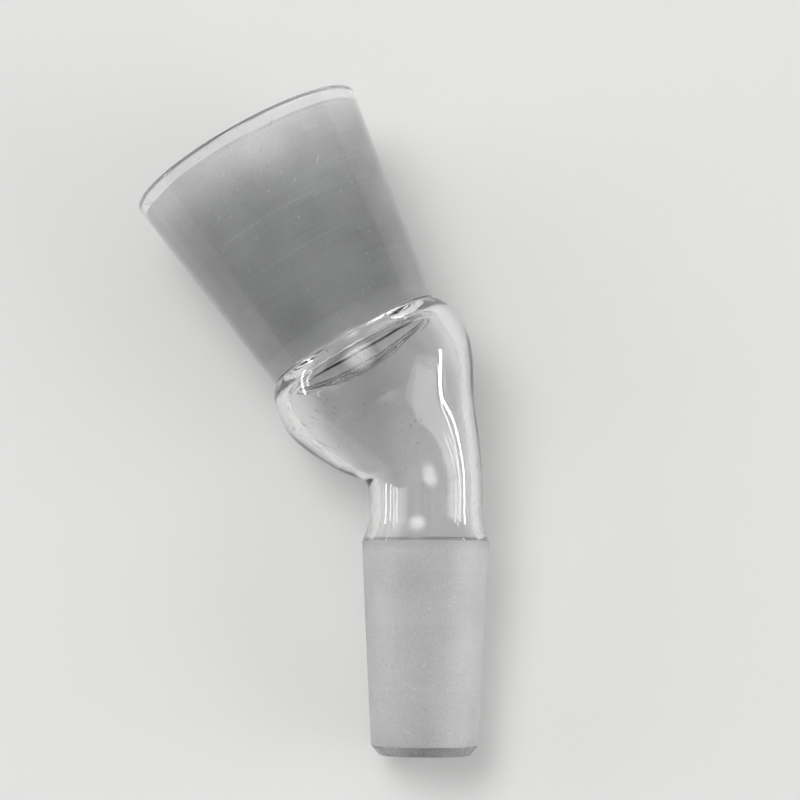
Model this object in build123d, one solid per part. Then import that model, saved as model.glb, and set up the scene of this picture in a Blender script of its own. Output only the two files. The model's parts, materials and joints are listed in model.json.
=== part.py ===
"""Receiver adapter: one piece of blown laboratory glass.

A ground male taper joint at one end and a wide, steeply tapered ground socket at the other,
joined by a clear bulb and a short neck that bend the way by thirty degrees.

It is modelled standing, with the male axis along +Z through the origin and the socket leaning
towards -X, and at the end it is laid down as the real piece comes to rest: on the socket's lip,
the side of the bulb and the edge of the male tip. All sizes are in millimetres.
"""

import os
from math import cos, pi, radians, sin, tan

from build123d import *

# Male joint: a standard 14.5 / 23 ground cone, with a bevelled tip
MALE_LARGE_D = 14.5
MALE_TAPER = 1 / 10
MALE_GROUND_LENGTH = 23.3
TIP_BEVEL_WIDTH = 1.0
TIP_BEVEL_HEIGHT = 1.1
TIP_FACE_WIDTH = 0.45
TIP_INNER_ROUND = 0.15

# Neck between the male joint and the bulb, a step narrower than the ground cone
NECK_STEP = 0.75
NECK_FLARE_LENGTH = 2.9
NECK_WALL = 1.25
BEND_HEIGHT = 8.2

# Elbow: where the round sections turn from the socket's axis to the neck's
BEND_ANGLE = 30.0
BEND_ROUNDING = 2.9
TURN_START = 5.0
TURN_END = -4.4
SWELL_END = -2.3
SWELL_FULLNESS = 0.93
ELBOW_SECTIONS = 15

# Bulb and the rolled shoulder under the socket, along the socket's axis from the bend
BULB_D = 23.6
BULB_WALL = 1.8
BULB_STATION = 11.9
SHOULDER_STATION = 15.3
SEAM_STATION = 16.6

# Throat: the inner lip that narrows the socket's bore and hangs a little way into the bulb
THROAT_D = 16.5
THROAT_DEPTH = 1.8
THROAT_NOSE_R = 0.45
THROAT_GROOVE_HEIGHT = 0.8

# Socket: a ground cone with an even wall and a fire-polished lip
SOCKET_SEAM_D = 20.6
SOCKET_HALF_ANGLE = 8.5
SOCKET_GROUND_LENGTH = 24.7
SOCKET_WALL = 1.1
LIP_CLEAR_LENGTH = 0.75
LIP_ROUND_HEIGHT = 0.55

NECK_R = MALE_LARGE_D / 2 - NECK_STEP
MALE_AXIS = Vector(0, 0, 1)
BEND_POINT = Vector(0, 0, BEND_HEIGHT)
SOCKET_AXIS = Vector(-sin(radians(BEND_ANGLE)), 0, cos(radians(BEND_ANGLE)))

SOCKET_SLOPE = tan(radians(SOCKET_HALF_ANGLE))
SOCKET_WALL_ACROSS = SOCKET_WALL / cos(radians(SOCKET_HALF_ANGLE))
MOUTH_STATION = SEAM_STATION + SOCKET_GROUND_LENGTH
LIP_STATION = MOUTH_STATION + LIP_CLEAR_LENGTH


def socket_plane():
    """Sketch plane through the bend: local X goes out from the socket's axis, local Y along it."""
    outwards = Vector(cos(radians(BEND_ANGLE)), 0, sin(radians(BEND_ANGLE)))
    return Plane(origin=BEND_POINT, x_dir=outwards, z_dir=outwards.cross(SOCKET_AXIS))


def socket_outer_radius(station):
    return SOCKET_SEAM_D / 2 + SOCKET_SLOPE * (station - SEAM_STATION)


def half_turn(start_r, end_r, station, height, slope=0.0):
    """Rounded end between two radii at one station, leaning by a slope; a height below 0 hangs."""
    rise = height * 4 / 3
    lean = slope * rise
    return Bezier(
        (start_r, station),
        (start_r + lean, station + rise),
        (end_r + lean, station + rise),
        (end_r, station),
    )


def male_joint():
    """Neck, flare, ground cone and bevelled tip, turned about the male axis with their bore."""
    large_r = MALE_LARGE_D / 2
    small_r = large_r - MALE_TAPER * MALE_GROUND_LENGTH / 2
    tip_r = small_r - TIP_BEVEL_WIDTH
    tip_bore_r = tip_r - TIP_FACE_WIDTH
    neck_bore_r = NECK_R - NECK_WALL
    flare_bore_r = large_r - NECK_WALL
    cone_end = -MALE_GROUND_LENGTH
    tip_end = cone_end - TIP_BEVEL_HEIGHT
    neck_top = BEND_HEIGHT + TURN_END
    flare_top = NECK_FLARE_LENGTH

    outline = [
        Bezier((large_r, 0), (NECK_R, flare_top / 2), (NECK_R, flare_top)),
        Line((NECK_R, flare_top), (NECK_R, neck_top)),
        Line((NECK_R, neck_top), (neck_bore_r, neck_top)),
        Line((neck_bore_r, neck_top), (neck_bore_r, flare_top)),
        Bezier((neck_bore_r, flare_top), (neck_bore_r, flare_top / 2), (flare_bore_r, 0)),
        Line((flare_bore_r, 0), (tip_bore_r, tip_end + TIP_INNER_ROUND)),
        Line((tip_bore_r, tip_end + TIP_INNER_ROUND), (tip_bore_r + TIP_INNER_ROUND, tip_end)),
        Line((tip_bore_r + TIP_INNER_ROUND, tip_end), (tip_r, tip_end)),
        Line((tip_r, tip_end), (small_r, cone_end)),
        Line((small_r, cone_end), (large_r, 0)),
    ]
    profile = Plane.XZ * make_face(outline)
    return revolve(profile, axis=Axis.Z)


def socket_joint():
    """Lip, ground socket, throat and the upper half of the bulb, turned about the socket's axis."""
    bulb_r = BULB_D / 2
    bulb_bore_r = bulb_r - BULB_WALL
    throat_r = THROAT_D / 2
    groove_r = throat_r + 2 * THROAT_NOSE_R
    ground_r = socket_outer_radius(SEAM_STATION) - SOCKET_WALL_ACROSS
    lip_outer = socket_outer_radius(LIP_STATION)
    lip_inner = lip_outer - SOCKET_WALL_ACROSS
    throat_end = SEAM_STATION - THROAT_DEPTH
    groove_corner = (bulb_bore_r, throat_end + THROAT_GROOVE_HEIGHT)

    outline = [
        Bezier(
            (bulb_r, BULB_STATION), (bulb_r, SHOULDER_STATION), (SOCKET_SEAM_D / 2, SEAM_STATION)
        ),
        Line((SOCKET_SEAM_D / 2, SEAM_STATION), (lip_outer, LIP_STATION)),
        half_turn(lip_outer, lip_inner, LIP_STATION, LIP_ROUND_HEIGHT, SOCKET_SLOPE),
        Line((lip_inner, LIP_STATION), (ground_r, SEAM_STATION)),
        Line((ground_r, SEAM_STATION), (throat_r, throat_end)),
        half_turn(throat_r, groove_r, throat_end, -THROAT_NOSE_R),
        Bezier((groove_r, throat_end), groove_corner, (bulb_bore_r, BULB_STATION)),
        Line((bulb_bore_r, BULB_STATION), (bulb_r, BULB_STATION)),
    ]
    profile = socket_plane() * make_face(outline)
    return revolve(profile, axis=Axis(BEND_POINT, SOCKET_AXIS))


def ease(part):
    """Falls smoothly from one to nothing as part goes from nothing to one."""
    part = min(max(part, 0), 1)
    return (1 + cos(pi * part)) / 2


def elbow_centre(station):
    """Point of the centreline: along the socket's axis above the bend, the neck's below it."""
    before = BEND_POINT + SOCKET_AXIS * BEND_ROUNDING
    after = BEND_POINT - MALE_AXIS * BEND_ROUNDING
    if station >= BEND_ROUNDING:
        return BEND_POINT + SOCKET_AXIS * station
    if station <= -BEND_ROUNDING:
        return BEND_POINT + MALE_AXIS * station
    way = (BEND_ROUNDING - station) / (2 * BEND_ROUNDING)
    return before * (1 - way) ** 2 + BEND_POINT * (2 * way * (1 - way)) + after * way**2


def bulb_share(station):
    """One where the bulb is widest, easing down to nothing where the neck starts."""
    part = (BULB_STATION - station) / (BULB_STATION - SWELL_END)
    return ease(max(part, 0) ** SWELL_FULLNESS)


def elbow_section(station, inside):
    """Round section of the elbow's outside or inside, turned between the two axes."""
    share = bulb_share(station)
    radius = NECK_R + (BULB_D / 2 - NECK_R) * share
    wall = NECK_WALL + (BULB_WALL - NECK_WALL) * share
    part = (TURN_START - station) / (TURN_START - TURN_END)
    lean = radians(BEND_ANGLE * ease(part))
    facing = Vector(-sin(lean), 0, cos(lean))
    return Plane(origin=elbow_centre(station), z_dir=facing) * Circle(radius - wall * inside)


def elbow():
    """Lower half of the bulb, drawn down through the bend into the neck."""
    step = (BULB_STATION - TURN_END) / (ELBOW_SECTIONS - 1)
    stations = [BULB_STATION - step * i for i in range(ELBOW_SECTIONS)]
    outer = loft([elbow_section(station, inside=False) for station in stations])
    inner = loft([elbow_section(station, inside=True) for station in stations])
    return outer - inner


def lowest_point(ring, up):
    """Lowest point of a round edge: ring is its centre, axis, radius and rounding."""
    centre, axis, radius, rounding = ring
    across = (up - axis * up.dot(axis)).normalized()
    return centre - across * radius - up * rounding


def resting_plane():
    """Plane that the piece lies on, found from the three round edges that touch it."""
    lip_r = SOCKET_WALL / 2
    swell_r = 2 * (BULB_STATION - SWELL_END) ** 2 / (pi**2 * (BULB_D / 2 - NECK_R))
    small_r = MALE_LARGE_D / 2 - MALE_TAPER * MALE_GROUND_LENGTH / 2
    rings = [
        (
            BEND_POINT + SOCKET_AXIS * LIP_STATION,
            SOCKET_AXIS,
            socket_outer_radius(LIP_STATION) - lip_r,
            lip_r,
        ),
        (BEND_POINT + SOCKET_AXIS * BULB_STATION, SOCKET_AXIS, BULB_D / 2 - swell_r, swell_r),
        (MALE_AXIS * -MALE_GROUND_LENGTH, MALE_AXIS, small_r, 0),
    ]
    up = Vector(0, -1, 0)
    for _ in range(30):
        lip, bulb, tip = (lowest_point(ring, up) for ring in rings)
        up = (bulb - tip).cross(lip - tip).normalized()
        if up.Y > 0:
            up = -up
    return Plane(origin=tip, x_dir=MALE_AXIS.cross(up), z_dir=up)


def lay_down(shape):
    """Moves the piece to rest on Z = 0, male axis over +Y, origin under the middle of its box."""
    lying = resting_plane().to_local_coords(shape)
    box = lying.bounding_box()
    return Pos(-box.center().X, -box.center().Y, -box.min.Z) * lying


adapter = lay_down(socket_joint() + elbow() + male_joint())

os.makedirs("parts", exist_ok=True)
export_step(adapter, "parts/adapter.step")
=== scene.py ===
"""Looks of a receiver adapter: one piece of blown laboratory glass, ground at both of its joints.

The glass is one closed wall, swept ring by ring along the bent centreline: the bevelled male tip,
its ground cone, the neck, the elbow and bulb, the ground socket and its fire-polished lip, and all
of the inside back to the tip. It lies as it comes to rest, on a plain pale studio floor.
"""

import json
from math import cos, pi, radians, sin, tan

import bmesh
import bpy
from bpy.props import FloatProperty, FloatVectorProperty, IntProperty, PointerProperty
from mathutils import Matrix, Vector
from mathutils.geometry import intersect_line_line


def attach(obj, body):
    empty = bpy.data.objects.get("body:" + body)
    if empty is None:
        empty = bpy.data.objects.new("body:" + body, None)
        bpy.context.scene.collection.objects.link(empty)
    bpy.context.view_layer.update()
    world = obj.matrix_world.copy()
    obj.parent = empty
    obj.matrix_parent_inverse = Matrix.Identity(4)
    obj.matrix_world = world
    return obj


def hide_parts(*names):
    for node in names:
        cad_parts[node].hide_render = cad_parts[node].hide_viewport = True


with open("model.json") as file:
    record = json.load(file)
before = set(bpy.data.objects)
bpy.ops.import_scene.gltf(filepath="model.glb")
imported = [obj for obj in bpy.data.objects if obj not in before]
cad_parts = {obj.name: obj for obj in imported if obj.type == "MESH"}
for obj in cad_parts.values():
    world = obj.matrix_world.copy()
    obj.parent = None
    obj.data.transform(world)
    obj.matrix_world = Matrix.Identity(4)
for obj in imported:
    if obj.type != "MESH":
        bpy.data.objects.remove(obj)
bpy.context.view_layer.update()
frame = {"record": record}

bl_info = {
    "name": "Receiver adapter",
    "version": (1, 0, 0),
    "blender": (4, 5, 0),
    "location": "View3D > Sidebar > Adapter",
    "description": "Builds a bent ground-glass receiver adapter and a plain studio around it",
    "category": "Add Mesh",
}

MOUNTS = {mount["name"]: mount for mount in frame["record"]["mounts"]}
MALE_LENGTH = MOUNTS["male_taper"]["dims"]["length_mm"] / 1000
SOCKET_LENGTH = MOUNTS["ground_socket"]["dims"]["length_mm"] / 1000

# Zones of the surface: what each stretch of the outline is finished as
CLEAR, BEVEL, MALE_GROUND, SOCKET_GROUND = range(4)

# Rings between the neck and the bulb, outside and again inside
ELBOW_RINGS = 50

# Points that the lights stand at and face, in metres. The side lights are given for the right,
# and the left ones are mirrored: the strips across the middle, the panels also along the glass.
LIGHT_AIM = (0, 0, 0.01)
KEY_PLACE = (-0.16, 0.14, 0.60)
STRIP_PLACE = (0.40, -0.01, 0.04)
STRIP_SIZE = (0.22, 0.03)
PANEL_PLACE = (0.50, -0.14, 0.23)
PANEL_SIZE = (0.44, 0.28)


def length(name, description, default):
    """A property that holds one length of the glass, in metres."""
    return FloatProperty(
        name=name, description=description, default=default, min=0, precision=5, unit="LENGTH"
    )


def colour(name, description, default):
    """A property that holds one colour."""
    return FloatVectorProperty(
        name=name, description=description, subtype="COLOR", size=4, default=(*default, 1)
    )


def number(name, description, default):
    """A property that holds a plain number, such as a share or a roughness."""
    return FloatProperty(name=name, description=description, default=default, precision=3)


def degrees(name, description, default):
    """A property that holds one angle, given here in degrees."""
    return FloatProperty(
        name=name, description=description, default=radians(default), subtype="ANGLE", unit="ROTATION"
    )


def watts(name, description, default):
    """A property that holds the power of one lamp."""
    return FloatProperty(name=name, description=description, default=default, unit="POWER")


class AdapterSizes(bpy.types.PropertyGroup):
    """Sizes of the glass, the same as the solid's."""

    male_large_d: length("Male large end", "Width of the ground cone where it meets the neck", 0.0145)
    male_taper: number("Male taper", "Width lost for each length", 0.1)
    bevel_width: length("Bevel width", "How far the polished bevel goes in at the tip", 0.0010)
    bevel_height: length("Bevel height", "Height of the polished bevel at the tip", 0.0011)
    tip_face: length("Tip face", "Width of the flat ring round the tip's mouth", 0.00045)
    tip_round: length("Tip rounding", "Rounding inside the tip's mouth", 0.00015)
    edge_round: length("Edge rounding", "Softness of the edges left by grinding", 0.00008)
    neck_step: length("Neck step", "How far the neck stands in from the ground cone", 0.00075)
    flare_length: length("Flare length", "Height of the flare from the cone to the neck", 0.0029)
    neck_wall: length("Neck wall", "Thickness of the neck's wall", 0.00125)
    bend_rounding: length("Bend rounding", "How far from the crossing the centreline curves", 0.0029)
    turn_start: length("Turn start", "Above the bend, where the round sections start to turn", 0.0050)
    turn_end: length("Turn end", "Below the bend, where they have turned", 0.0044)
    swell_end: length("Swell end", "Below the bend, where the bulb has drawn down to the neck", 0.0023)
    swell_fullness: number("Swell fullness", "Lower is fuller near the bulb", 0.93)
    bulb_d: length("Bulb", "Greatest width of the bulb", 0.0236)
    bulb_wall: length("Bulb wall", "Thickness of the bulb's wall", 0.0018)
    bulb_station: length("Bulb station", "Where the bulb is widest, from the bend", 0.0119)
    shoulder_station: length("Shoulder station", "Where the bulb's side and shoulder cross", 0.0153)
    seam_d: length("Seam", "Width of the socket where it leaves the shoulder", 0.0206)
    seam_round: length("Seam rounding", "Rounding of the crease above the shoulder", 0.00035)
    ground_end_round: length("Ground end rounding", "Rounding where the ground bore stops", 0.00015)
    throat_d: length("Throat", "Width of the opening from the socket into the bulb", 0.0165)
    throat_depth: length("Throat depth", "Length of the narrowing under the ground bore", 0.0018)
    throat_nose: length("Throat nose", "Rounding of the throat's lower lip", 0.00045)
    groove_height: length("Groove height", "Corner of the groove behind that lip", 0.0008)
    socket_half_angle: degrees("Socket half angle", "Slope of the ground bore from its axis", 8.5)
    socket_wall: length("Socket wall", "Thickness of the socket's wall", 0.0011)
    lip_clear: length("Clear lip", "Length of the fire-polished band at the mouth", 0.00075)
    lip_height: length("Lip height", "Height of the rounded lip over that band", 0.00055)
    male_edge_wander: length("Male edge wander", "Unevenness of the top edge of the grinding", 0.00015)
    socket_edge_wander: length("Socket edge wander", "Unevenness of the grinding at the mouth", 0.00025)
    segments: IntProperty(name="Segments", description="Points around each ring", default=270, min=24)


class GlassFinish(bpy.types.PropertyGroup):
    """Colours and marks of the glass."""

    clear_colour: colour("Clear glass", "Tint of the clear glass", (0.970, 0.976, 0.974))
    trace_colour: colour("Traces", "Tone of specks and scratches in clear glass", (0.45, 0.45, 0.45))
    male_light: colour("Male glass, light", "Lightest tone of the ground cone", (0.93, 0.93, 0.93))
    male_dark: colour("Male glass, dark", "Darkest tone of the ground cone", (0.56, 0.563, 0.568))
    socket_light: colour("Socket glass, light", "Lightest tone of the ground bore", (0.95, 0.95, 0.95))
    socket_dark: colour("Socket glass, dark", "Darkest tone of the ground bore", (0.32, 0.323, 0.328))
    refraction: number("Refraction", "Index of the glass", 1.474)
    male_clearness: number("Male clearness", "Share of light through the ground cone", 0.45)
    socket_clearness: number("Socket clearness", "Share of light through the ground bore", 0.66)
    ground_roughness: number("Ground roughness", "Roughness of the ground glass", 0.55)
    male_tone: number("Male tone", "Plain tone of the ground cone, from dark to light", 0.42)
    socket_tone: number("Socket tone", "Plain tone of the ground bore, from dark to light", 0.3)
    bevel_clearness: number("Bevel clearness", "Share of light through the half-polished bevel", 0.92)
    bevel_roughness: number("Bevel roughness", "Roughness of the half-polished bevel", 0.14)
    trace_roughness: number("Trace roughness", "Roughness of specks and scratches in clear glass", 0.5)
    trace_whiteness: number("Trace whiteness", "How white specks and scratches are on ground glass", 0.7)
    trace_polish: number("Trace polish", "Share of roughness lost there on ground glass", 0.3)
    ring_spacing: length("Ring spacing", "Distance between the marks left by grinding", 0.0006)
    grinding_depth: length("Grinding depth", "Depth of the grain and rings", 0.00003)
    wave_size: length("Wave size", "Length of the slow waves in hand-worked glass", 0.0070)
    wave_depth: length("Wave depth", "Depth of those waves", 0.00007)
    bevel_wave_size: length("Bevel wave size", "Length of the small waves on the polished bevel", 0.0011)
    bevel_wave_depth: length("Bevel wave depth", "Depth of those small waves", 0.00004)
    seed: IntProperty(name="Seed", description="Changes where the marks and waves fall", default=7)


class Studio(bpy.types.PropertyGroup):
    """Floor, light and camera."""

    floor_colour: colour("Floor", "Colour of the floor", (0.88, 0.88, 0.87))
    floor_roughness: number("Floor roughness", "Roughness of the floor", 0.8)
    floor_radius: length("Floor radius", "Half the width of the floor", 1.5)
    sky_light: number("Sky light", "Light from above, all round", 0.54)
    horizon_light: number("Horizon light", "Light from the side", 0.10)
    key_radius: length("Key radius", "Half the width of the round softbox", 0.30)
    key_strength: number("Key strength", "Light of its middle", 6.6)
    left_strip: watts("Left strip", "Low narrow light", 0.28)
    right_strip: watts("Right strip", "Low narrow light", 0.42)
    left_panel: watts("Left panel", "Broad side light", 0.5)
    right_panel: watts("Right panel", "Broad side light", 0.8)
    camera_aim: FloatVectorProperty(
        name="Aim", description="Point that the camera looks at", subtype="TRANSLATION",
        unit="LENGTH", default=(0.00994, 0.00252, 0.01081),
    )
    camera_distance: length("Camera distance", "From the aim to the camera", 0.380)
    camera_turn: degrees("Camera turn", "About the male axis, away from the bend's flat side", 8.79)
    camera_rise: degrees("Camera rise", "Towards the socket's end", -2.80)
    camera_roll: degrees("Camera roll", "About its own line of sight", 0.33)
    camera_lens: number("Lens", "Focal length in millimetres", 149.5)


class Bend:
    """The two axes of the glass and the point where they cross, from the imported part's mounts."""

    def __init__(self):
        male, socket = MOUNTS["male_taper"], MOUNTS["ground_socket"]
        self.male_end = Vector(male["pos_m"])
        self.male_axis = -Vector(male["axis"]).normalized()
        self.mouth = Vector(socket["pos_m"])
        self.socket_axis = Vector(socket["axis"]).normalized()
        crossing = intersect_line_line(
            self.male_end,
            self.male_end + self.male_axis,
            self.mouth,
            self.mouth + self.socket_axis,
        )
        self.point = crossing[0]
        self.normal = self.male_axis.cross(self.socket_axis).normalized()
        self.height = (self.point - self.male_end).length
        self.mouth_station = (self.mouth - self.point).length
        self.angle = self.male_axis.angle(self.socket_axis)

    def on_male(self, radius, height):
        """Ring about the male axis, at a height over the large end of the ground cone."""
        return self.male_end + self.male_axis * height, self.male_axis, radius

    def on_socket(self, radius, station):
        """Ring about the socket's axis, at a station from the bend."""
        return self.point + self.socket_axis * station, self.socket_axis, radius


def bezier(points, part):
    """Point of a Bezier curve, given as (radius, height) pairs."""
    while len(points) > 1:
        points = [
            tuple(a + (b - a) * part for a, b in zip(first, second))
            for first, second in zip(points, points[1:])
        ]
    return points[0]


def between(first, second, distance):
    """The point that lies a distance from first, on the way to second."""
    way = Vector(second) - Vector(first)
    return tuple(Vector(first) + way.normalized() * distance)


def ease(part):
    """Falls smoothly from one to nothing as part goes from nothing to one."""
    return (1 + cos(pi * min(max(part, 0), 1))) / 2


def wander(angle, depth, phase):
    """Uneven edge left by hand work: up to depth inwards, and the same after each full turn."""
    waves = sin(2 * angle + phase) + 0.6 * sin(5 * angle + 2 * phase) + 0.35 * sin(11 * angle + 3 * phase)
    return -depth * (0.5 + 0.25 * waves)


class Outline:
    """Section of the glass wall, once round from inside the tip, over the outside and back."""

    def __init__(self, sizes, bend):
        self.sizes = sizes
        self.bend = bend
        self.neck_r = sizes.male_large_d / 2 - sizes.neck_step
        self.neck_top = bend.height - sizes.turn_end
        self.bulb_r = sizes.bulb_d / 2
        self.slope = tan(sizes.socket_half_angle)
        self.wall_across = sizes.socket_wall / cos(sizes.socket_half_angle)
        self.seam_station = bend.mouth_station - SOCKET_LENGTH

    def cone_r(self, height):
        """Radius of the male ground cone."""
        return self.sizes.male_large_d / 2 + self.sizes.male_taper * height / 2

    def socket_r(self, station):
        """Outer radius of the socket."""
        return self.sizes.seam_d / 2 + self.slope * (station - self.seam_station)

    def male_stretches(self, angle):
        """Bore, tip, bevel, ground cone, flare and neck: zone, rings and curve of each."""
        s = self.sizes
        neck_bore = (self.neck_r - s.neck_wall, s.flare_length)
        flare_pull = (neck_bore[0], s.flare_length / 2)
        flare_bore = (s.male_large_d / 2 - s.neck_wall, 0)
        cone_end = -MALE_LENGTH
        tip_end = cone_end - s.bevel_height
        tip = (self.cone_r(cone_end) - s.bevel_width, tip_end)
        small = (self.cone_r(cone_end), cone_end)
        mouth = (tip[0] - s.tip_face, tip_end)
        bore_edge = (mouth[0], tip_end + s.tip_round)
        face_start = (mouth[0] + s.tip_round, tip_end)
        edge_height = wander(angle, s.male_edge_wander, 0.8)
        large = (self.cone_r(edge_height), edge_height)
        neck = (self.neck_r, s.flare_length)
        pull = (self.neck_r, (s.flare_length + edge_height) / 2)
        before_tip = between(tip, face_start, s.edge_round)
        after_tip = between(tip, small, s.edge_round)
        before_small = between(small, tip, s.edge_round)
        after_small = between(small, large, s.edge_round)
        return [
            (CLEAR, 3, [(neck_bore[0], self.neck_top), neck_bore]),
            (CLEAR, 12, [neck_bore, flare_pull, flare_bore]),
            (CLEAR, 12, [flare_bore, bore_edge]),
            (CLEAR, 4, [bore_edge, mouth, face_start]),
            (CLEAR, 3, [face_start, before_tip]),
            (CLEAR, 4, [before_tip, tip, after_tip]),
            (BEVEL, 12, [after_tip, before_small]),
            (CLEAR, 4, [before_small, small, after_small]),
            (MALE_GROUND, 12, [after_small, large]),
            (CLEAR, 16, [large, pull, neck]),
            (CLEAR, 4, [neck, (self.neck_r, self.neck_top)]),
        ]

    def socket_stretches(self, angle):
        """Shoulder, socket, lip, ground bore, throat and the bulb's inside, given the same way."""
        s = self.sizes
        seam = (s.seam_d / 2, self.seam_station)
        pull = (self.bulb_r, s.shoulder_station)
        lip_station = self.bend.mouth_station + s.lip_clear
        outer = (self.socket_r(lip_station), lip_station)
        inner = (outer[0] - self.wall_across, lip_station)
        rise = 4 / 3 * s.lip_height
        lean = self.slope * rise
        outer_pull = (outer[0] + lean, outer[1] + rise)
        inner_pull = (inner[0] + lean, inner[1] + rise)
        ground_station = self.bend.mouth_station + wander(angle, s.socket_edge_wander, 2.1)
        ground_top = (self.socket_r(ground_station) - self.wall_across, ground_station)
        ground_end = (seam[0] - self.wall_across, self.seam_station)
        throat = (s.throat_d / 2, self.seam_station - s.throat_depth)
        nose_pull = throat[1] - 4 / 3 * s.throat_nose
        groove = (throat[0] + 2 * s.throat_nose, throat[1])
        inside = (self.bulb_r - s.bulb_wall, s.bulb_station)
        groove_corner = (inside[0], throat[1] + s.groove_height)
        before_seam = between(seam, pull, s.seam_round)
        after_seam = between(seam, outer, s.seam_round)
        before_end = between(ground_end, ground_top, s.ground_end_round)
        after_end = between(ground_end, throat, s.ground_end_round)
        return [
            (CLEAR, 16, [(self.bulb_r, s.bulb_station), pull, before_seam]),
            (CLEAR, 5, [before_seam, seam, after_seam]),
            (CLEAR, 12, [after_seam, outer]),
            (CLEAR, 20, [outer, outer_pull, inner_pull, inner]),
            (CLEAR, 4, [inner, ground_top]),
            (SOCKET_GROUND, 16, [ground_top, before_end]),
            (CLEAR, 4, [before_end, ground_end, after_end]),
            (CLEAR, 6, [after_end, throat]),
            (CLEAR, 28, [throat, (throat[0], nose_pull), (groove[0], nose_pull), groove]),
            (CLEAR, 56, [groove, groove_corner, inside]),
        ]

    def elbow_place(self, station, inside):
        """Ring of the elbow: its centre on the bent line, its facing and its radius."""
        s = self.sizes
        bend = self.bend
        before = bend.point + bend.socket_axis * s.bend_rounding
        after = bend.point - bend.male_axis * s.bend_rounding
        if station >= s.bend_rounding:
            centre = bend.point + bend.socket_axis * station
        elif station <= -s.bend_rounding:
            centre = bend.point + bend.male_axis * station
        else:
            way = (s.bend_rounding - station) / (2 * s.bend_rounding)
            centre = before * (1 - way) ** 2 + bend.point * (2 * way * (1 - way)) + after * way**2
        turned = ease((s.turn_start - station) / (s.turn_start + s.turn_end))
        facing = Matrix.Rotation(bend.angle * turned, 3, bend.normal) @ bend.male_axis
        drawn = max((s.bulb_station - station) / (s.bulb_station + s.swell_end), 0)
        share = ease(drawn**s.swell_fullness)
        radius = self.neck_r + (self.bulb_r - self.neck_r) * share
        wall = s.neck_wall + (s.bulb_wall - s.neck_wall) * share
        return centre, facing, radius - wall * inside

    def elbow_places(self, rising, count, inside):
        """Rings of the elbow between the neck and the bulb, in either direction."""
        low, high = -self.sizes.turn_end, self.sizes.bulb_station
        start, end = (low, high) if rising else (high, low)
        return [self.elbow_place(start + (end - start) * i / count, inside) for i in range(count)]

    def column(self, angle):
        """Zones and points of the wall at one angle round it."""
        zones = []
        places = []

        def follow(stretches, on_axis):
            for zone, count, points in stretches:
                zones.extend([zone] * count)
                places.extend(on_axis(*bezier(points, i / count)) for i in range(count))

        def follow_elbow(rising, inside):
            rings = self.elbow_places(rising, ELBOW_RINGS, inside)
            zones.extend([CLEAR] * len(rings))
            places.extend(rings)

        follow(self.male_stretches(angle), self.bend.on_male)
        follow_elbow(True, False)
        follow(self.socket_stretches(angle), self.bend.on_socket)
        follow_elbow(False, True)
        normal = self.bend.normal
        points = []
        for centre, facing, radius in places:
            across = normal.cross(facing)
            points.append(centre + (across * cos(angle) + normal * sin(angle)) * radius)
        return zones, points


def glass_mesh(sizes, bend):
    """The closed glass wall, with the zone of each face."""
    outline = Outline(sizes, bend)
    columns = []
    for i in range(sizes.segments):
        zones, points = outline.column(2 * pi * i / sizes.segments)
        columns.append(points)
    rings = len(zones)
    mesh = bpy.data.meshes.new("adapter_glass")
    work = bmesh.new()
    zone_layer = work.faces.layers.int.new("zone")
    vertices = [[work.verts.new(point) for point in column] for column in columns]
    for i, column in enumerate(vertices):
        following = vertices[(i + 1) % len(vertices)]
        for j in range(rings):
            k = (j + 1) % rings
            face = work.faces.new((column[j], column[k], following[k], following[j]))
            face[zone_layer] = zones[j]
            face.smooth = True
    bmesh.ops.recalc_face_normals(work, faces=work.faces)
    work.to_mesh(mesh)
    work.free()
    return mesh


def add(tree, kind, **settings):
    """New node of a tree. Settings are its own, or the values of its inputs by name."""
    node = tree.nodes.new(kind)
    for name, value in settings.items():
        if name in node.bl_rna.properties:
            setattr(node, name, value)
        else:
            node.inputs[name.replace("_", " ")].default_value = value
    return node


def math(tree, operation, first, second=0.0):
    """Math node on two sockets or numbers, as the socket of its result."""
    node = add(tree, "ShaderNodeMath", operation=operation)
    for socket, value in zip(node.inputs, (first, second)):
        if isinstance(value, bpy.types.NodeSocket):
            tree.links.new(value, socket)
        else:
            socket.default_value = value
    return node.outputs[0]


def new_group(name, kind, inputs, outputs):
    """Empty node group with named sockets. Inputs are (name, socket type, default)."""
    group = bpy.data.node_groups.new(name, kind)
    for label, socket_type, default in inputs:
        socket = group.interface.new_socket(name=label, in_out="INPUT", socket_type=socket_type)
        if default is not None:
            socket.default_value = default
    for label, socket_type in outputs:
        group.interface.new_socket(name=label, in_out="OUTPUT", socket_type=socket_type)
    return group, add(group, "NodeGroupInput"), add(group, "NodeGroupOutput")


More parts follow.
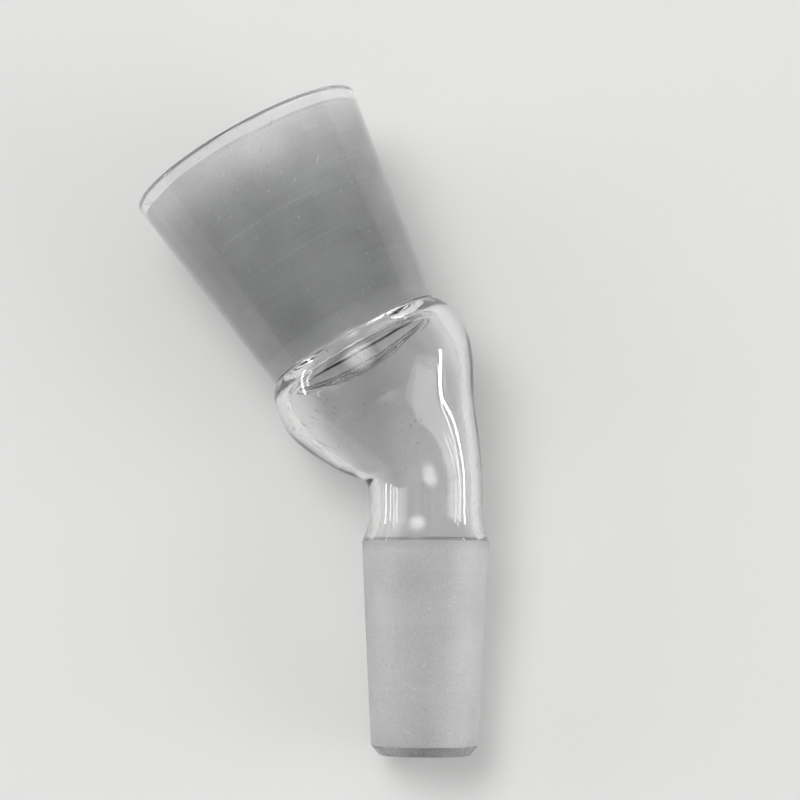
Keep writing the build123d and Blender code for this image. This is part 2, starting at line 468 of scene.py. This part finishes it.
def relief_tree():
    """Geometry nodes: slow waves of the hand-worked wall, and the glass of each zone."""
    tree, start, end = new_group(
        "Glass relief",
        "GeometryNodeTree",
        [
            ("Geometry", "NodeSocketGeometry", None),
            ("Wave Size", "NodeSocketFloat", 0.007),
            ("Wave Depth", "NodeSocketFloat", 0.00005),
            ("Bevel Wave Size", "NodeSocketFloat", 0.0009),
            ("Bevel Wave Depth", "NodeSocketFloat", 0.00002),
            ("Seed", "NodeSocketInt", 0),
            ("Clear Glass", "NodeSocketMaterial", None),
            ("Bevel Glass", "NodeSocketMaterial", None),
            ("Male Ground Glass", "NodeSocketMaterial", None),
            ("Socket Ground Glass", "NodeSocketMaterial", None),
        ],
        [("Geometry", "NodeSocketGeometry")],
    )
    link = tree.links.new
    zone = add(tree, "GeometryNodeInputNamedAttribute", data_type="INT")
    zone.inputs["Name"].default_value = "zone"
    is_zone = {}
    for number in (CLEAR, BEVEL, MALE_GROUND, SOCKET_GROUND):
        compare = add(tree, "FunctionNodeCompare", data_type="INT", operation="EQUAL")
        link(zone.outputs["Attribute"], compare.inputs[2])
        compare.inputs[3].default_value = number
        is_zone[number] = compare.outputs[0]
    position = add(tree, "GeometryNodeInputPosition").outputs[0]

    def waves(size, depth, number):
        """Waves of one size, in one zone only."""
        noise = add(tree, "ShaderNodeTexNoise", noise_dimensions="4D", Detail=1.0, Roughness=0.4)
        link(position, noise.inputs["Vector"])
        link(start.outputs["Seed"], noise.inputs["W"])
        link(math(tree, "DIVIDE", 1.0, start.outputs[size]), noise.inputs["Scale"])
        deep = math(tree, "MULTIPLY", noise.outputs[0], start.outputs[depth])
        return math(tree, "MULTIPLY", deep, is_zone[number])

    slow = waves("Wave Size", "Wave Depth", CLEAR)
    depth = math(tree, "ADD", slow, waves("Bevel Wave Size", "Bevel Wave Depth", BEVEL))
    inwards = add(tree, "ShaderNodeVectorMath", operation="SCALE")
    link(add(tree, "GeometryNodeInputNormal").outputs[0], inwards.inputs[0])
    link(math(tree, "MULTIPLY", depth, -1.0), inwards.inputs["Scale"])
    moved = add(tree, "GeometryNodeSetPosition")
    link(start.outputs["Geometry"], moved.inputs["Geometry"])
    link(inwards.outputs[0], moved.inputs["Offset"])
    real = add(tree, "GeometryNodeRealizeInstances")
    link(moved.outputs[0], real.inputs[0])
    result = real.outputs[0]
    for name, selection in (
        ("Clear Glass", None),
        ("Bevel Glass", is_zone[BEVEL]),
        ("Male Ground Glass", is_zone[MALE_GROUND]),
        ("Socket Ground Glass", is_zone[SOCKET_GROUND]),
    ):
        finish = add(tree, "GeometryNodeSetMaterial")
        link(result, finish.inputs["Geometry"])
        link(start.outputs[name], finish.inputs["Material"])
        if selection:
            link(selection, finish.inputs["Selection"])
        result = finish.outputs[0]
    link(result, end.inputs["Geometry"])
    return tree


def scaled_noise(group, vector, size, **settings):
    """Noise texture of a real size in metres, given as an input of its group."""
    noise = add(group, "ShaderNodeTexNoise", **settings)
    group.links.new(vector, noise.inputs["Vector"])
    group.links.new(math(group, "DIVIDE", 1.0, size), noise.inputs["Scale"])
    return noise.outputs[0]


def ramp(group, value, low, high, smooth=True):
    """Nothing below low and one above high, with a smooth or straight way between."""
    node = add(group, "ShaderNodeMapRange")
    node.interpolation_type = "SMOOTHSTEP" if smooth else "LINEAR"
    node.inputs["From Min"].default_value = low
    node.inputs["From Max"].default_value = high
    group.links.new(value, node.inputs["Value"])
    return node.outputs[0]


def grinding_and_light_group():
    """Shader nodes: grain, clouds and fine rings of ground glass, as a height, and a tone that also holds
    painted light and shade at its ends.
    """
    group, start, end = new_group(
        "Grinding marks and painted light",
        "ShaderNodeTree",
        [
            ("Vector", "NodeSocketVector", None),
            ("Ring Spacing", "NodeSocketFloat", 0.0006),
            ("Ring Share", "NodeSocketFloat", 0.3),
            ("Grain Size", "NodeSocketFloat", 0.00016),
            ("Grain Share", "NodeSocketFloat", 0.5),
            ("Cloud Size", "NodeSocketFloat", 0.007),
            ("Cloud Share", "NodeSocketFloat", 0.8),
            ("Painted End Light Length", "NodeSocketFloat", 0.006),
            ("Painted End Light Share", "NodeSocketFloat", 0.3),
            ("Ground Length", "NodeSocketFloat", 0.02),
            ("Painted Seam Light Length", "NodeSocketFloat", 0.004),
            ("Painted Seam Light Share", "NodeSocketFloat", 0.0),
            ("Plain Tone", "NodeSocketFloat", 0.4),
        ],
        [("Height", "NodeSocketFloat"), ("Tone", "NodeSocketFloat")],
    )
    link = group.links.new
    vector = start.outputs["Vector"]

    def shared(value, name):
        """A value by its share, which is an input of the group."""
        return math(group, "MULTIPLY", value, start.outputs[name])

    def centred(noise):
        return math(group, "SUBTRACT", noise, 0.5)

    # Noise that is drawn out across the axis turns into rings about it
    squeeze = add(group, "ShaderNodeVectorMath", operation="MULTIPLY")
    squeeze.inputs[1].default_value = (0.02, 0.02, 1.0)
    link(vector, squeeze.inputs[0])
    rings = scaled_noise(
        group, squeeze.outputs[0], start.outputs["Ring Spacing"], Detail=3.0, Roughness=0.6
    )
    grain = scaled_noise(group, vector, start.outputs["Grain Size"], Detail=2.0, Roughness=0.6)
    cloud = scaled_noise(group, vector, start.outputs["Cloud Size"], Detail=3.0, Roughness=0.5)
    dark_lines = math(group, "MULTIPLY", ramp(group, rings, 0.40, 0.32), 0.6)
    lines = math(group, "SUBTRACT", ramp(group, rings, 0.60, 0.68), dark_lines)
    height = math(group, "ADD", shared(lines, "Ring Share"), shared(centred(grain), "Grain Share"))
    link(height, end.inputs["Height"])

    # Painted light: paler at the mouth or large end, where the axis starts, and at the seam at its other
    # end; a negative share paints shade there instead
    parts = add(group, "ShaderNodeSeparateXYZ")
    link(vector, parts.inputs[0])
    way = math(group, "ABSOLUTE", parts.outputs["Z"])
    left = math(group, "ABSOLUTE", math(group, "SUBTRACT", start.outputs["Ground Length"], way))
    from_end = math(group, "DIVIDE", way, start.outputs["Painted End Light Length"])
    from_seam = math(group, "DIVIDE", left, start.outputs["Painted Seam Light Length"])
    tone = height
    for part in (
        shared(centred(cloud), "Cloud Share"),
        shared(ramp(group, from_end, 1.0, 0.0), "Painted End Light Share"),
        shared(ramp(group, from_seam, 1.0, 0.0), "Painted Seam Light Share"),
        start.outputs["Plain Tone"],
    ):
        tone = math(group, "ADD", tone, part)
    link(ramp(group, tone, 0.0, 1.0, smooth=False), end.inputs["Tone"])
    return group


def traces_group():
    """Shader nodes: specks of dust and fine straight scratches of use, as a mask."""
    group, start, end = new_group(
        "Traces of use",
        "ShaderNodeTree",
        [
            ("Vector", "NodeSocketVector", None),
            ("Speck Spacing", "NodeSocketFloat", 0.0011),
            ("Speck Size", "NodeSocketFloat", 0.09),
            ("Scratch Spacing", "NodeSocketFloat", 0.0006),
            ("Scratch Size", "NodeSocketFloat", 0.11),
        ],
        [("Mask", "NodeSocketFloat")],
    )
    link = group.links.new

    def spots(vector, spacing, size):
        """One spot in each cell, as large as chance gives it."""
        cells = add(group, "ShaderNodeTexVoronoi")
        link(vector, cells.inputs["Vector"])
        link(math(group, "DIVIDE", 1.0, start.outputs[spacing]), cells.inputs["Scale"])
        pick = add(group, "ShaderNodeSeparateColor")
        link(cells.outputs["Color"], pick.inputs[0])
        reach = math(group, "MULTIPLY", ramp(group, pick.outputs[0], 0.4, 1.0), start.outputs[size])
        return math(group, "LESS_THAN", cells.outputs["Distance"], reach)

    mask = spots(start.outputs["Vector"], "Speck Spacing", "Speck Size")
    # Spots that are drawn out one way turn into straight scratches
    for heading in (25, 75, 150):
        stretch = add(group, "ShaderNodeMapping", vector_type="TEXTURE")
        stretch.inputs["Rotation"].default_value = (0, 0.1, radians(heading))
        stretch.inputs["Scale"].default_value = (40, 1, 1)
        link(start.outputs["Vector"], stretch.inputs["Vector"])
        scratch = spots(stretch.outputs[0], "Scratch Spacing", "Scratch Size")
        mask = math(group, "MAXIMUM", mask, scratch)
    link(mask, end.inputs["Mask"])
    return group


def new_material(name):
    """Material with a Principled shader and an output, and nothing else."""
    material = bpy.data.materials.new(name)
    material.use_nodes = True
    tree = material.node_tree
    tree.nodes.clear()
    shader = add(tree, "ShaderNodeBsdfPrincipled")
    output = add(tree, "ShaderNodeOutputMaterial")
    tree.links.new(shader.outputs[0], output.inputs["Surface"])
    return material, tree, shader


def place_group(tree, group, vector):
    """Puts a shared group into a material, fed with coordinates."""
    node = add(tree, "ShaderNodeGroup")
    node.node_tree = group
    tree.links.new(vector, node.inputs["Vector"])
    return node


def clear_glass(finish, traces):
    """Clear glass: smooth but for dust specks and faint scratches."""
    material, tree, shader = new_material("clear_glass")
    shader.inputs["Transmission Weight"].default_value = 1.0
    shader.inputs["IOR"].default_value = finish.refraction
    coordinates = add(tree, "ShaderNodeTexCoord").outputs["Object"]
    marks = place_group(tree, traces, coordinates)
    tint = add(tree, "ShaderNodeMix", data_type="RGBA")
    tint.inputs[6].default_value = finish.clear_colour
    tint.inputs[7].default_value = finish.trace_colour
    tree.links.new(marks.outputs["Mask"], tint.inputs[0])
    tree.links.new(tint.outputs[2], shader.inputs["Base Color"])
    rough = math(tree, "MULTIPLY", marks.outputs["Mask"], finish.trace_roughness)
    tree.links.new(rough, shader.inputs["Roughness"])
    return material


def ground_glass(name, finish, groups, tones, clearness, roughness, place, grinding_and_light_values):
    """Ground glass between two tones. Its place is the centre and axis of its end, for the rings and for
    the painted light and shade along the axis.
    """
    material, tree, shader = new_material(name)
    link = tree.links.new
    grinding_and_light, traces = groups
    centre, axis = place
    turn = axis.to_track_quat("Z", "Y").to_matrix().inverted()
    coordinates = add(tree, "ShaderNodeTexCoord").outputs["Object"]
    mapping = add(tree, "ShaderNodeMapping", vector_type="POINT")
    mapping.inputs["Rotation"].default_value = turn.to_euler()
    mapping.inputs["Location"].default_value = -(turn @ centre)
    link(coordinates, mapping.inputs["Vector"])
    marks = place_group(tree, grinding_and_light, mapping.outputs[0])
    marks.inputs["Ring Spacing"].default_value = finish.ring_spacing
    for label, value in grinding_and_light_values.items():
        marks.inputs[label].default_value = value
    plain = add(tree, "ShaderNodeMix", data_type="RGBA")
    plain.inputs[6].default_value, plain.inputs[7].default_value = tones
    link(marks.outputs["Tone"], plain.inputs[0])
    used = place_group(tree, traces, coordinates)
    sparkle = add(tree, "ShaderNodeMix", data_type="RGBA")
    sparkle.inputs[7].default_value = (1, 1, 1, 1)
    link(math(tree, "MULTIPLY", used.outputs["Mask"], finish.trace_whiteness), sparkle.inputs[0])
    link(plain.outputs[2], sparkle.inputs[6])
    link(sparkle.outputs[2], shader.inputs["Base Color"])
    lost = math(tree, "MULTIPLY", used.outputs["Mask"], finish.trace_polish * roughness)
    link(math(tree, "SUBTRACT", roughness, lost), shader.inputs["Roughness"])
    shader.inputs["Transmission Weight"].default_value = clearness
    shader.inputs["IOR"].default_value = finish.refraction
    bump = add(tree, "ShaderNodeBump", Strength=0.7, Distance=finish.grinding_depth)
    link(marks.outputs["Height"], bump.inputs["Height"])
    link(bump.outputs[0], shader.inputs["Normal"])
    return material


def male_glass(finish, groups, bend):
    """Ground glass of the male cone: fine grain, faint rings and painted shade, darker at its large end.
    """
    tones = finish.male_dark, finish.male_light
    place = bend.male_end, bend.male_axis
    return ground_glass(
        "male_ground_glass", finish, groups, tones,
        finish.male_clearness, finish.ground_roughness, place,
        {
            "Ring Share": 0.08,
            "Grain Size": 0.00022,
            "Grain Share": 0.9,
            # Painted shade: a darker band at the large end of the ground cone
            "Painted End Light Length": 0.0014,
            "Painted End Light Share": -0.45,
            "Plain Tone": finish.male_tone,
        },
    )


def bevel_glass(finish, groups, bend):
    """Half-polished glass of the tip's bevel: coarse grain and no rings."""
    tones = finish.male_dark, finish.male_light
    place = bend.male_end, bend.male_axis
    return ground_glass(
        "bevel_glass", finish, groups, tones,
        finish.bevel_clearness, finish.bevel_roughness, place,
        {"Ring Share": 0.0, "Grain Size": 0.00024, "Grain Share": 3.0, "Painted End Light Share": 0.3},
    )


def socket_glass(finish, groups, bend):
    """Ground glass of the socket's bore: rings, and painted light that makes it paler at the mouth and at
    the seam.
    """
    tones = finish.socket_dark, finish.socket_light
    place = bend.mouth, bend.socket_axis
    return ground_glass(
        "socket_ground_glass", finish, groups, tones,
        finish.socket_clearness, finish.ground_roughness, place,
        {
            "Ring Share": 0.14,
            # Painted light: paler near the mouth and near the seam
            "Painted End Light Share": 0.55,
            "Ground Length": SOCKET_LENGTH,
            "Painted Seam Light Share": 0.45,
            "Plain Tone": finish.socket_tone,
        },
    )


def set_inputs(modifier, values):
    """Sets a modifier's inputs, given by name, through their identifiers."""
    for item in modifier.node_group.interface.items_tree:
        if item.in_out == "INPUT" and item.name in values:
            modifier[item.identifier] = values[item.name]


class ADAPTER_OT_glass(bpy.types.Operator):
    """Makes the glass of the adapter, with its clear and ground finishes"""

    bl_idname = "adapter.make_glass"
    bl_label = "Make the glass"

    def execute(self, context):
        sizes = context.scene.adapter_sizes
        finish = context.scene.adapter_finish
        bend = Bend()
        groups = grinding_and_light_group(), traces_group()
        blank = bpy.data.objects.new("glass_blank", glass_mesh(sizes, bend))
        context.scene.collection.objects.link(blank)
        modifier = blank.modifiers.new("Relief", "NODES")
        modifier.node_group = relief_tree()
        set_inputs(
            modifier,
            {
                "Wave Size": finish.wave_size,
                "Wave Depth": finish.wave_depth,
                "Bevel Wave Size": finish.bevel_wave_size,
                "Bevel Wave Depth": finish.bevel_wave_depth,
                "Seed": finish.seed,
                "Male Ground Glass": male_glass(finish, groups, bend),
                "Bevel Glass": bevel_glass(finish, groups, bend),
                "Socket Ground Glass": socket_glass(finish, groups, bend),
                "Clear Glass": clear_glass(finish, groups[1]),
            },
        )
        evaluated = blank.evaluated_get(context.evaluated_depsgraph_get())
        mesh = bpy.data.meshes.new_from_object(evaluated)
        mesh.name = "adapter_glass"
        bpy.data.objects.remove(blank)
        glass = bpy.data.objects.new("adapter_glass", mesh)
        context.scene.collection.objects.link(glass)
        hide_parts("adapter")
        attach(glass, "root")
        return {"FINISHED"}


def add_floor(studio):
    """Round pale floor under the glass."""
    mesh = bpy.data.meshes.new("floor")
    work = bmesh.new()
    bmesh.ops.create_circle(work, cap_ends=True, segments=96, radius=studio.floor_radius)
    work.to_mesh(mesh)
    work.free()
    material, tree, shader = new_material("floor_paint")
    shader.inputs["Base Color"].default_value = studio.floor_colour
    shader.inputs["Roughness"].default_value = studio.floor_roughness
    mesh.materials.append(material)
    floor = bpy.data.objects.new("floor", mesh)
    bpy.context.scene.collection.objects.link(floor)


def put_light(light, place):
    """Stands a light at a place and turns it to the glass, out of the camera's own sight."""
    bpy.context.scene.collection.objects.link(light)
    light.location = place
    light.rotation_euler = (Vector(LIGHT_AIM) - light.location).to_track_quat("-Z", "Y").to_euler()
    light.visible_camera = False


def add_panel(name, place, size, power):
    """Flat rectangular light, of a width along the glass and a height."""
    lamp = bpy.data.lights.new(name, "AREA")
    lamp.shape = "RECTANGLE"
    lamp.size, lamp.size_y = size
    lamp.energy = power
    put_light(bpy.data.objects.new(name, lamp), place)


def add_key(studio):
    """Round softbox, brightest in the middle and dark at its edge."""
    material = bpy.data.materials.new("key_softbox_cloth")
    material.use_nodes = True
    tree = material.node_tree
    tree.nodes.clear()
    reach = add(tree, "ShaderNodeVectorMath", operation="LENGTH")
    tree.links.new(add(tree, "ShaderNodeTexCoord").outputs["Object"], reach.inputs[0])
    shine = add(tree, "ShaderNodeEmission")
    faded = ramp(tree, reach.outputs["Value"], studio.key_radius, 0)
    tree.links.new(math(tree, "MULTIPLY", faded, studio.key_strength), shine.inputs["Strength"])
    output = add(tree, "ShaderNodeOutputMaterial")
    tree.links.new(shine.outputs[0], output.inputs["Surface"])
    mesh = bpy.data.meshes.new("key_softbox")
    work = bmesh.new()
    bmesh.ops.create_circle(work, cap_ends=True, segments=48, radius=studio.key_radius)
    work.to_mesh(mesh)
    work.free()
    mesh.materials.append(material)
    softbox = bpy.data.objects.new("key_softbox", mesh)
    put_light(softbox, KEY_PLACE)


def add_sky(studio):
    """World light: brighter overhead than at the horizon."""
    world = bpy.data.worlds.new("studio_sky")
    bpy.context.scene.world = world
    world.use_nodes = True
    tree = world.node_tree
    tree.nodes.clear()
    link = tree.links.new
    direction = add(tree, "ShaderNodeTexCoord").outputs["Generated"]
    parts = add(tree, "ShaderNodeSeparateXYZ")
    link(direction, parts.inputs[0])
    strength = add(tree, "ShaderNodeMapRange", interpolation_type="SMOOTHSTEP")
    link(parts.outputs["Z"], strength.inputs["Value"])
    strength.inputs["To Min"].default_value = studio.horizon_light
    strength.inputs["To Max"].default_value = studio.sky_light
    background = add(tree, "ShaderNodeBackground")
    background.inputs["Color"].default_value = (1, 1, 1, 1)
    link(strength.outputs[0], background.inputs["Strength"])
    output = add(tree, "ShaderNodeOutputWorld")
    link(background.outputs[0], output.inputs["Surface"])


def add_camera(studio, bend):
    """Camera over the glass, square to its bend but for a small turn, rise and roll."""
    turn, rise, roll = studio.camera_turn, studio.camera_rise, studio.camera_roll
    aside = bend.normal.cross(bend.male_axis)
    back = (bend.normal * cos(turn) - aside * sin(turn)) * cos(rise) + bend.male_axis * sin(rise)
    right = bend.male_axis.cross(back).normalized()
    up = back.cross(right)
    rolled_right = right * cos(roll) + up * sin(roll)
    rolled_up = up * cos(roll) - right * sin(roll)
    data = bpy.data.cameras.new("camera")
    data.lens = studio.camera_lens
    data.clip_start = 0.01
    data.clip_end = 10
    camera = bpy.data.objects.new("camera", data)
    bpy.context.scene.collection.objects.link(camera)
    turned = Matrix((rolled_right, rolled_up, back)).transposed().to_4x4()
    place = Vector(studio.camera_aim) + back * studio.camera_distance
    camera.matrix_world = Matrix.Translation(place) @ turned
    bpy.context.scene.camera = camera


class ADAPTER_OT_studio(bpy.types.Operator):
    """Makes the floor, the lights and the camera"""

    bl_idname = "adapter.make_studio"
    bl_label = "Make the studio"

    def execute(self, context):
        studio = context.scene.adapter_studio
        add_floor(studio)
        add_sky(studio)
        add_key(studio)
        strip_x, strip_y, strip_z = STRIP_PLACE
        panel_x, panel_y, panel_z = PANEL_PLACE
        for side, strip_power, panel_power in (
            (-1, studio.left_strip, studio.left_panel),
            (1, studio.right_strip, studio.right_panel),
        ):
            add_panel("side_strip", (strip_x * side, strip_y, strip_z), STRIP_SIZE, strip_power)
            add_panel("side_panel", (panel_x * side, panel_y * side, panel_z), PANEL_SIZE, panel_power)
        add_camera(studio, Bend())
        context.scene.view_settings.view_transform = "Standard"
        return {"FINISHED"}


class VIEW3D_PT_adapter(bpy.types.Panel):
    """Sizes, finish and studio of the adapter, and the buttons that make them"""

    bl_idname = "VIEW3D_PT_adapter"
    bl_label = "Receiver adapter"
    bl_space_type = "VIEW_3D"
    bl_region_type = "UI"
    bl_category = "Adapter"

    def draw(self, context):
        layout = self.layout
        scene = context.scene
        for group in (scene.adapter_sizes, scene.adapter_finish, scene.adapter_studio):
            box = layout.box()
            for name in group.bl_rna.properties.keys():
                if name not in ("rna_type", "name"):
                    box.prop(group, name)
        layout.operator(ADAPTER_OT_glass.bl_idname)
        layout.operator(ADAPTER_OT_studio.bl_idname)


CLASSES = (AdapterSizes, GlassFinish, Studio, ADAPTER_OT_glass, ADAPTER_OT_studio, VIEW3D_PT_adapter)


def register():
    for kind in CLASSES:
        bpy.utils.register_class(kind)
    bpy.types.Scene.adapter_sizes = PointerProperty(type=AdapterSizes)
    bpy.types.Scene.adapter_finish = PointerProperty(type=GlassFinish)
    bpy.types.Scene.adapter_studio = PointerProperty(type=Studio)


def unregister():
    del bpy.types.Scene.adapter_studio
    del bpy.types.Scene.adapter_finish
    del bpy.types.Scene.adapter_sizes
    for kind in reversed(CLASSES):
        bpy.utils.unregister_class(kind)


def main():
    """Makes everything."""
    register()
    bpy.ops.adapter.make_glass()
    bpy.ops.adapter.make_studio()


if __name__ == "__main__":
    main()
